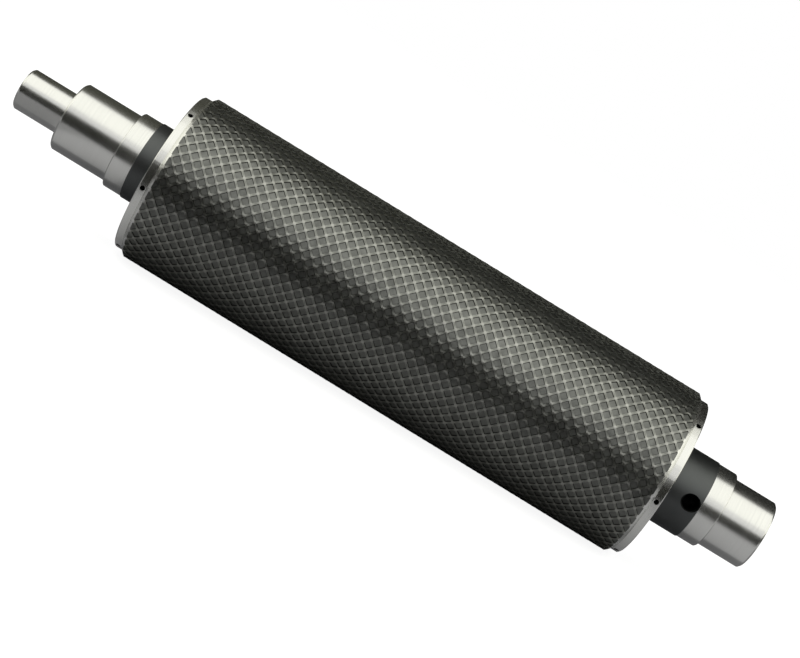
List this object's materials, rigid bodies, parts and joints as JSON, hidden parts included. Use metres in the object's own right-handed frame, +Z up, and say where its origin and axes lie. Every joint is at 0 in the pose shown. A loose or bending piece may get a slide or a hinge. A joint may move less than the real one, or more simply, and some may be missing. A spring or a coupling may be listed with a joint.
{
  "type": "anilox roller",
  "caption": "Black cross-knurled roller tube with ground end bands, pinned by set screws onto two stepped steel journals with bearing seats, a drive end and a radial pin hole.",
  "frame": {"origin": "on the roller's axis, at half of its overall length", "axes": "+X along the axis towards the end with the radial pin hole, -Y out of the pin hole, +Z up"},
  "size_m": [0.402, 0.086, 0.086],
  "materials": {
    "black_knurled_steel": "black oxide, satin",
    "ground_steel": "ground bright",
    "black_screw_steel": "black oxide"
  },
  "bodies": {
    "root": {"roller_tube": "black_knurled_steel", "left_journal": "ground_steel", "right_journal": "ground_steel", "left_set_screws": "black_screw_steel", "right_set_screws": "black_screw_steel"}
  },
  "joints": []
}
